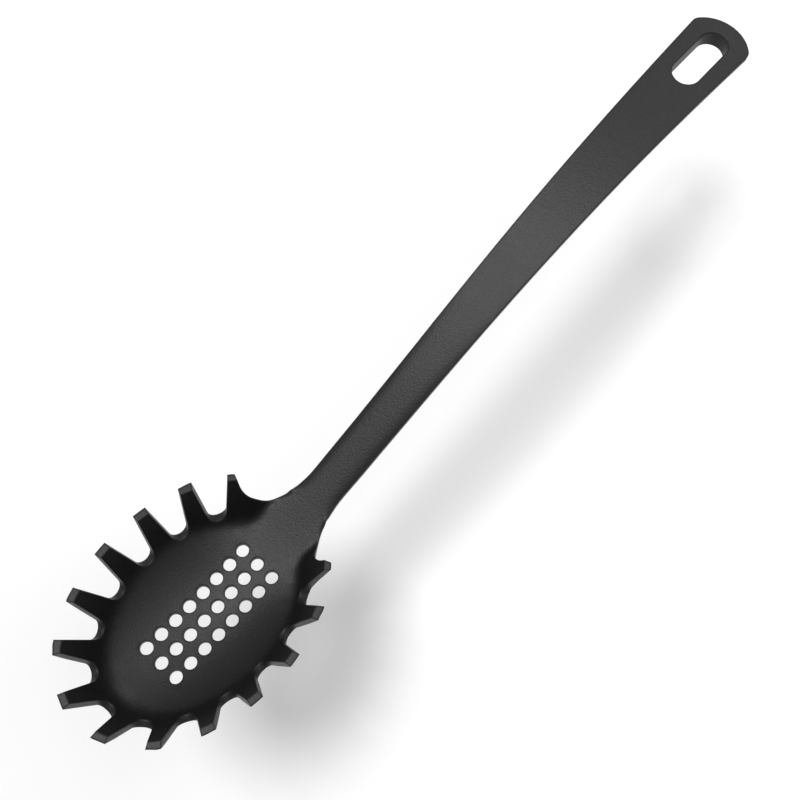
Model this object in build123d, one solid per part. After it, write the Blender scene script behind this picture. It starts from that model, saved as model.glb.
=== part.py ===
from build123d import *
import os
from math import asin, atan2, cos, degrees, hypot, radians, sin, sqrt, tan

# All sizes are in millimetres and all angles in degrees.
# The server is drawn as it lies in its mould: +Y runs along the handle, +Z is the way the
# mould opens, and the origin is in the middle of the bowl, level with the lowest floor.

# Bowl, inside
rim_half_width = 32.6
rim_half_length = 46.0
rim_height = 27.1
rim_tilt = 2.9
floor_centre = 2.0
across_radius = 36.0
toe_radius = 114.0
wall_slope = 68.5
corner_softness = 3.0
wall = 2.3

# Where the wall fades into the neck, as angles round the rim from the handle
wall_gone_angle = 18.0
wall_full_angle = 34.0

# Teeth, seven a side, and the notches between them
teeth_per_side = 7
spacings_to_neck = 8.0
lean_share = 1.3
tooth_end_width = 4.4
notch_depth = 20.0
notch_radius = 3.2

# The open notch between the last tooth and the neck
neck_notch_inset = 10.3
neck_notch_radius = 3.6
neck_notch_turn = 68.5

# Drain holes
hole_rows = 3
holes_per_row = 8
hole_diameter = 4.45
hole_pitch_across = 6.9
hole_pitch_along = 6.3

# Handle, seen from above
spine_length = 269.5
spine_rise = 63.0
neck_half_width = 7.0
neck_station = 64.0
end_half_width = 12.3
widening_power = 1.6
flare_radius = 33.0
flare_station = 58.5
end_crown = 6.4
end_corner_radius = 4.1

# Handle, in section
neck_thickness = 8.0
end_thickness = 6.1
edge_thickness = 2.0
neck_edge_drop = 1.3
end_edge_drop = 0.1
drop_start = 36.0
drop_full = 60.0
drop_gone = 170.0
rib_start = 16.0
rib_full = 58.0
hollow_start = 8.0
hollow_end = 44.0

# Hanging slot
slot_length = 27.4
slot_width = 10.5
slot_to_end = 6.0

# How finely the surfaces are drawn
bowl_sections = 30
handle_sections = 14
across_steps = 32
side_points = 24
contact_points = 240
probe = 0.05
overrun = 4.0


def eased(value, start, end):
    """Goes smoothly from 0 at start to 1 at end."""
    share = min(max((value - start) / (end - start), 0), 1)
    return share**3 * (10 - 15 * share + 6 * share**2)


def softly_over_zero(rise):
    """Zero or the rise, whichever is more, with a rounded corner between them."""
    return (rise + hypot(rise, corner_softness)) / 2


def spine_height(y):
    """Height of the inner surface on the centre line."""
    along = y - floor_centre
    if along < 0:
        return along**2 / (2 * toe_radius)
    share = along / spine_length
    return spine_rise * (6 * share**2 - 8 * share**3 + 3 * share**4)


def half_width(y):
    """Half the width of the neck and handle, seen from above."""
    if y < flare_station:
        flare = flare_radius - sqrt(max(flare_radius**2 - (flare_station - y) ** 2, 0))
    else:
        flare = 0
    share = max((y - neck_station) / (floor_centre + spine_length - neck_station), 0)
    return neck_half_width + (end_half_width - neck_half_width) * share**widening_power + flare


def rim_level(y):
    """Height of the plane that the tooth ends lie in."""
    return rim_height - y * tan(radians(rim_tilt))


def wall_above_floor(x, y, floor):
    """How far the bowl's wall stands above its floor at this place."""
    across = max(abs(x), probe)
    reach = hypot(across / rim_half_width, y / rim_half_length)
    steepness = hypot(across / rim_half_width**2, y / rim_half_length**2) / reach
    inside_rim = (1 - reach) / steepness
    rise = softly_over_zero(rim_level(y) - inside_rim * tan(radians(wall_slope)) - floor)
    brim = rim_level(y) + 2 * overrun - floor
    angle = degrees(atan2(abs(x) / rim_half_width, y / rim_half_length))
    return (brim - softly_over_zero(brim - rise)) * eased(angle, wall_gone_angle, wall_full_angle)


def inner_height(x, y):
    """Height of the upper surface of bowl, neck and handle."""
    hollow = x**2 / (2 * across_radius) * (1 - eased(y, hollow_start, hollow_end))
    fade = 1 - eased(y, drop_full, drop_gone)
    drop = (end_edge_drop + (neck_edge_drop - end_edge_drop) * fade) * eased(y, drop_start, drop_full)
    floor = spine_height(y) + hollow - drop * (x / half_width(y)) ** 4
    return floor + wall_above_floor(x, y, floor)


def inner_point(x, y):
    return Vector(x, y, inner_height(x, y))


def thickness(x, y):
    """Thickness square to the upper surface, thin in the bowl and full along the handle."""
    share = (y - floor_centre) / spine_length
    middle = neck_thickness + (end_thickness - neck_thickness) * eased(share, 0, 1)
    across = min(abs(x) / half_width(y), 1)
    shape = (1 - across**8) ** 2
    side = wall + (edge_thickness - wall) * eased(y, rib_start, rib_full)
    return side + (middle - side) * shape * eased(y, rib_start, rib_full)


def wall_vector(x, y):
    """From the upper surface square through the material to the underside."""
    across = inner_point(x + probe, y) - inner_point(x - probe, y)
    along = inner_point(x, y + probe) - inner_point(x, y - probe)
    return across.cross(along).normalized() * -thickness(x, y)


def outer_height(x, y):
    """Height of the underside, found from the place above it that is nearest to it."""
    through = wall_vector(x, y)
    above = (x - through.X, y - through.Y)
    return inner_height(*above) + wall_vector(*above).Z


def blank_half_width(y):
    """Half the width of the drawn blank, a little more than the server's own."""
    narrow = half_width(max(y, drop_start)) + overrun
    wide = rim_half_width + overrun
    return wide + (narrow - wide) * eased(y, drop_start, drop_full)


def section(y):
    """Closed section of the blank, square across the server."""
    steps = [step / across_steps for step in range(across_steps + 1)]
    places = [(2 * step - 1) * blank_half_width(y) for step in steps]
    upper = Edge.make_spline([(x, y, inner_height(x, y)) for x in places], parameters=steps)
    lower = Edge.make_spline([(x, y, outer_height(x, y)) for x in places], parameters=steps)
    sides = [Line(upper @ end, lower @ end).edge() for end in (0, 1)]
    return Wire([upper, sides[1], lower, sides[0]])


def lofted_blank():
    """Bowl, neck and handle in one, before its outline is cut."""
    toe = -rim_half_length - 1.5 * overrun
    end = floor_centre + spine_length + overrun
    bowl_shares = [step / bowl_sections for step in range(bowl_sections)]
    handle_shares = [step / (handle_sections - 1) for step in range(handle_sections)]
    bowl = [toe + (neck_station - toe) * share for share in bowl_shares]
    handle = [neck_station + (end - neck_station) * share for share in handle_shares]
    return Solid.make_loft([section(y) for y in bowl + handle])


def plan():
    """Outline from above: a blank for the bowl, the notches beside the neck, and the handle."""
    end = floor_centre + spine_length
    start = rim_half_length - neck_notch_inset
    steps = [step / (side_points - 1) for step in range(side_points)]
    stations = [start + (end - end_crown - start) * step for step in steps]
    right = Spline([(half_width(y), y) for y in stations])
    left = mirror(right, about=Plane.YZ)
    cap = ThreePointArc(right @ 1, (0, end), left @ 1)
    side = rim_half_width + overrun
    toe = -rim_half_length - overrun
    shoulder = start + (side - half_width(start)) / tan(radians(neck_notch_turn))
    blank = Polyline(right @ 0, (side, shoulder), (side, toe), (-side, toe), (-side, shoulder), left @ 0)
    outline = make_face(right + cap + left + blank)
    end_corners = outline.vertices().group_by(Axis.Y)[-1]
    outline = fillet(end_corners, end_corner_radius)
    notch_corners = outline.vertices().filter_by_position(Axis.Y, start - probe, start + probe)
    return fillet(notch_corners, neck_notch_radius)


def notch(bottom, outward, slope, radius, flare):
    """Cutter for a round-bottomed notch, square to a wall of this slope."""
    up_wall = outward * cos(radians(slope)) + Vector(0, 0, sin(radians(slope)))
    through = outward * sin(radians(slope)) - Vector(0, 0, cos(radians(slope)))
    flat = Plane(origin=bottom, x_dir=up_wall.cross(through), z_dir=through)
    side = radius * cos(radians(flare))
    low = radius - radius * sin(radians(flare))
    high = notch_depth + 3 * overrun
    wide = side + (high - low) * tan(radians(flare))
    flanks = Polyline((-side, low), (-wide, high), (wide, high), (side, low))
    outline = flanks + ThreePointArc((side, low), (0, 0), (-side, low))
    return extrude(flat * make_face(outline), amount=rim_height, both=True)


def tooth_notches():
    """The notches between teeth, evenly spaced round the rim from the one at the toe."""
    middle = wall / sin(radians(wall_slope)) / 2
    half_width_there = rim_half_width + middle
    half_length_there = rim_half_length + middle
    rim = EllipticalCenterArc((0, 0), half_width_there, half_length_there, -90, arc_size=180)
    spacing = rim.length / spacings_to_neck
    half_gap = (spacing - tooth_end_width) / 2
    centre_depth = notch_depth - notch_radius
    flare = atan2(half_gap, centre_depth) - asin(notch_radius / hypot(half_gap, centre_depth))
    cutters = []
    for count in range(teeth_per_side):
        station = rim.position_at(count * spacing, position_mode=PositionMode.LENGTH)
        lean = lean_share * station.Y / half_length_there**2
        outward = Vector(station.X / half_width_there**2, lean).normalized()
        down_wall = outward * cos(radians(wall_slope)) + Vector(0, 0, sin(radians(wall_slope)))
        bottom = station + Vector(0, 0, rim_level(station.Y)) - down_wall * notch_depth
        cutter = notch(bottom, outward, wall_slope, notch_radius, degrees(flare))
        cutters.append(cutter)
        if count > 0:
            cutters.append(mirror(cutter, about=Plane.YZ))
    return cutters


def above_rim():
    """What the flat tooth ends are cut back to."""
    height = 2 * rim_height
    length = 3 * rim_half_length
    slab = Pos(0, -rim_half_length / 2, height / 2) * Box(3 * rim_half_width, length, height)
    return Pos(0, 0, rim_height) * Rot(X=-rim_tilt) * slab


def drain_holes():
    """Three rows of holes straight down through the floor."""
    pattern = GridLocations(hole_pitch_across, hole_pitch_along, hole_rows, holes_per_row)
    depth = 2 * rim_height
    return [Pos(0, floor_centre) * spot * Cylinder(hole_diameter / 2, depth) for spot in pattern]


def hanging_slot():
    """The long slot through the handle's end."""
    centre = floor_centre + spine_length - slot_to_end - slot_length / 2
    outline = Pos(0, centre) * Rot(Z=90) * SlotOverall(slot_length, slot_width)
    return extrude(outline, amount=spine_rise + rim_height)


def server_in_mould():
    depth = spine_rise + rim_height
    blank = extrude(Pos(0, 0, -depth / 2) * plan(), amount=2 * depth)
    body = lofted_blank() & blank
    body = body - above_rim()
    body = body - tooth_notches()
    return body - drain_holes() - hanging_slot()


def laid_down(body):
    """Turned to rest on the underside of the neck and of the handle's end, over the origin."""
    end = floor_centre + spine_length
    end_height = outer_height(0, end)
    places = [spine_length * step / contact_points for step in range(contact_points)]
    lay_slope = max((end_height - outer_height(0, y)) / (end - y) for y in places)
    table_depth = (end_height - end * lay_slope) / hypot(1, lay_slope)
    body = Pos(0, 0, -table_depth) * Rot(X=-degrees(atan2(lay_slope, 1))) * body
    return Pos(0, -body.bounding_box().center().Y) * body


os.makedirs("parts", exist_ok=True)
server_body = laid_down(server_in_mould())
server_body.label = "server_body"
export_step(server_body, "parts/server_body.step")
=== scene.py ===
from math import radians

import bpy
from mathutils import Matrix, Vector

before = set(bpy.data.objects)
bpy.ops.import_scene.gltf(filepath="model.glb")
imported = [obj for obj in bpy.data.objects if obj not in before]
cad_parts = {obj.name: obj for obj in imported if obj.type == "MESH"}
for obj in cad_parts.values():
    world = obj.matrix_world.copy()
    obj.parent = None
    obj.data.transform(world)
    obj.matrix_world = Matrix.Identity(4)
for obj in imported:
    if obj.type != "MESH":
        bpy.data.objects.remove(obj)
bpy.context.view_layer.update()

scene = bpy.context.scene
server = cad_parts["server_body"]

# Camera, nearly straight above the bowl, as the photograph was taken
CAMERA_PLACE = (0.06901, -0.04753, 0.34469)
CAMERA_TURN = (10.904, 5.891, 41.530)
CAMERA_LENS = 45.0
SENSOR_WIDTH = 36.0
CLIP_START = 0.01
CLIP_END = 50.0

# The sheet of white card that the server is held above
CARD_HEIGHT = -0.078
CARD_SIZE = 9.0
CARD_COLOUR = (0.85, 0.85, 0.85, 1)
CARD_ROUGHNESS = 0.95
CARD_GLOW = 0.22

# Soft key light from the upper left, and two soft boxes
KEY_TURN = (-4.6, -15.1, 0.0)
KEY_STRENGTH = 2.1
KEY_SOFTNESS = 21.0
FILL_PLACE = (0.24, 0.34, 1.0)
FILL_SIZE = 0.7
FILL_POWER = 4.0
BACK_PLACE = (-0.15, 1.3, 0.85)
BACK_SIZE = 0.6
BACK_POWER = 2.6

# The room, as light and as it is seen
ROOM_STRENGTH = 0.03
BACKDROP_STRENGTH = 0.6

# Black nylon, with lengths in metres and scales in noise cells for each metre
DARK_TONE = (0.004, 0.004, 0.004, 1)
PEAK_TONE = (0.008, 0.008, 0.008, 1)
TONE_START = 0.3
TONE_END = 0.7
NYLON_IOR = 1.5
NYLON_SPECULAR = 0.31
ROUGHNESS_LOW = 0.40
ROUGHNESS_HIGH = 0.47
DRIFT_SCALE = 45.0
FINE_SCALE = 2600.0
COARSE_SCALE = 1500.0
GRAIN_STRENGTH = 0.9
GRAIN_HEIGHT = 0.0002
EDGE_RADIUS = 0.0009
EDGE_SAMPLES = 6


def add_camera():
    camera = bpy.data.cameras.new("camera")
    camera.sensor_width = SENSOR_WIDTH
    camera.lens = CAMERA_LENS
    camera.clip_start = CLIP_START
    camera.clip_end = CLIP_END
    holder = bpy.data.objects.new("camera", camera)
    holder.location = CAMERA_PLACE
    holder.rotation_euler = [radians(turn) for turn in CAMERA_TURN]
    scene.collection.objects.link(holder)
    scene.camera = holder


def add_key_light():
    key = bpy.data.lights.new("key", "SUN")
    key.energy = KEY_STRENGTH
    key.angle = radians(KEY_SOFTNESS)
    holder = bpy.data.objects.new("key", key)
    holder.rotation_euler = [radians(turn) for turn in KEY_TURN]
    scene.collection.objects.link(holder)


def add_soft_light(name, place, size, power):
    """A round soft box, turned towards the server."""
    light = bpy.data.lights.new(name, "AREA")
    light.shape = "DISK"
    light.size = size
    light.energy = power
    holder = bpy.data.objects.new(name, light)
    holder.location = place
    holder.rotation_euler = Vector(place).to_track_quat("Z", "Y").to_euler()
    holder.visible_camera = False
    scene.collection.objects.link(holder)


def seen_directly(tree):
    """One for rays that reach the background from the camera, or by gloss or glass."""
    rays = tree.nodes.new("ShaderNodeLightPath")
    gloss = tree.nodes.new("ShaderNodeMath")
    gloss.operation = "MAXIMUM"
    tree.links.new(rays.outputs["Is Camera Ray"], gloss.inputs[0])
    tree.links.new(rays.outputs["Is Glossy Ray"], gloss.inputs[1])
    glass = tree.nodes.new("ShaderNodeMath")
    glass.operation = "MAXIMUM"
    tree.links.new(gloss.outputs[0], glass.inputs[0])
    tree.links.new(rays.outputs["Is Transmission Ray"], glass.inputs[1])
    return glass.outputs[0]


def light_the_room():
    """A dim room all round, which shows as a pale backdrop where it is seen."""
    world = bpy.data.worlds.new("room")
    scene.world = world
    world.use_nodes = True
    tree = world.node_tree
    room = tree.nodes["Background"]
    room.inputs["Color"].default_value = (1, 1, 1, 1)
    room.inputs["Strength"].default_value = ROOM_STRENGTH
    backdrop = tree.nodes.new("ShaderNodeBackground")
    backdrop.inputs["Color"].default_value = (1, 1, 1, 1)
    backdrop.inputs["Strength"].default_value = BACKDROP_STRENGTH
    mix = tree.nodes.new("ShaderNodeMixShader")
    tree.links.new(seen_directly(tree), mix.inputs["Fac"])
    tree.links.new(room.outputs[0], mix.inputs[1])
    tree.links.new(backdrop.outputs[0], mix.inputs[2])
    tree.links.new(mix.outputs[0], tree.nodes["World Output"].inputs["Surface"])


def white_card():
    material = bpy.data.materials.new("white_card")
    material.use_nodes = True
    tree = material.node_tree
    card = tree.nodes["Principled BSDF"]
    card.inputs["Base Color"].default_value = CARD_COLOUR
    card.inputs["Roughness"].default_value = CARD_ROUGHNESS
    card.inputs["Specular IOR Level"].default_value = 0.0
    glow = tree.nodes.new("ShaderNodeEmission")
    glow.inputs["Strength"].default_value = CARD_GLOW
    unlit = tree.nodes.new("ShaderNodeEmission")
    unlit.inputs["Strength"].default_value = 0.0
    mix = tree.nodes.new("ShaderNodeMixShader")
    tree.links.new(seen_directly(tree), mix.inputs["Fac"])
    tree.links.new(unlit.outputs[0], mix.inputs[1])
    tree.links.new(glow.outputs[0], mix.inputs[2])
    both = tree.nodes.new("ShaderNodeAddShader")
    tree.links.new(card.outputs[0], both.inputs[0])
    tree.links.new(mix.outputs[0], both.inputs[1])
    tree.links.new(both.outputs[0], tree.nodes["Material Output"].inputs["Surface"])
    return material


def add_card():
    bpy.ops.object.select_all(action="DESELECT")
    bpy.ops.mesh.primitive_plane_add(size=CARD_SIZE, location=(0, 0, CARD_HEIGHT))
    card = bpy.context.object
    card.name = "white_card"
    card.data.materials.append(white_card())


def add_noise(tree, place, scale, detail):
    """Noise that stays fixed to the object."""
    noise = tree.nodes.new("ShaderNodeTexNoise")
    noise.inputs["Scale"].default_value = scale
    noise.inputs["Detail"].default_value = detail
    tree.links.new(place.outputs["Object"], noise.inputs["Vector"])
    return noise


def black_nylon():
    """Black glass-filled nylon with the fine grain of a spark-eroded mould."""
    material = bpy.data.materials.new("black_nylon_grained")
    material.use_nodes = True
    tree = material.node_tree
    nylon = tree.nodes["Principled BSDF"]
    nylon.inputs["IOR"].default_value = NYLON_IOR
    nylon.inputs["Specular IOR Level"].default_value = NYLON_SPECULAR

    place = tree.nodes.new("ShaderNodeTexCoord")

    # Grain, in two sizes, over the rounded edges
    fine = add_noise(tree, place, FINE_SCALE, 2.0)
    coarse = add_noise(tree, place, COARSE_SCALE, 3.0)
    grain = tree.nodes.new("ShaderNodeMix")
    grain.data_type = "FLOAT"
    grain.inputs["Factor"].default_value = 0.5
    tree.links.new(fine.outputs["Fac"], grain.inputs["A"])
    tree.links.new(coarse.outputs["Fac"], grain.inputs["B"])
    bump = tree.nodes.new("ShaderNodeBump")
    bump.inputs["Strength"].default_value = GRAIN_STRENGTH
    bump.inputs["Distance"].default_value = GRAIN_HEIGHT
    tree.links.new(grain.outputs["Result"], bump.inputs["Height"])
    tree.links.new(bump.outputs["Normal"], nylon.inputs["Normal"])
    edges = tree.nodes.new("ShaderNodeBevel")
    edges.samples = EDGE_SAMPLES
    edges.inputs["Radius"].default_value = EDGE_RADIUS
    tree.links.new(edges.outputs["Normal"], bump.inputs["Normal"])

    # Colour, a little lighter on the grain's peaks
    tone = tree.nodes.new("ShaderNodeValToRGB")
    low, high = tone.color_ramp.elements
    low.position = TONE_START
    low.color = DARK_TONE
    high.position = TONE_END
    high.color = PEAK_TONE
    tree.links.new(grain.outputs["Result"], tone.inputs["Fac"])
    tree.links.new(tone.outputs["Color"], nylon.inputs["Base Color"])

    # Gloss, which drifts slightly over the surface
    drift = add_noise(tree, place, DRIFT_SCALE, 2.0)
    gloss = tree.nodes.new("ShaderNodeMapRange")
    gloss.inputs["To Min"].default_value = ROUGHNESS_LOW
    gloss.inputs["To Max"].default_value = ROUGHNESS_HIGH
    tree.links.new(drift.outputs["Fac"], gloss.inputs["Value"])
    tree.links.new(gloss.outputs["Result"], nylon.inputs["Roughness"])
    return material


def finish_the_server():
    """The CAD solid keeps its shape and takes the grained nylon."""
    nylon = black_nylon()
    for slot in server.material_slots:
        slot.material = nylon


scene.view_settings.view_transform = "Standard"
add_camera()
add_key_light()
add_soft_light("fill", FILL_PLACE, FILL_SIZE, FILL_POWER)
add_soft_light("back", BACK_PLACE, BACK_SIZE, BACK_POWER)
light_the_room()
add_card()
finish_the_server()
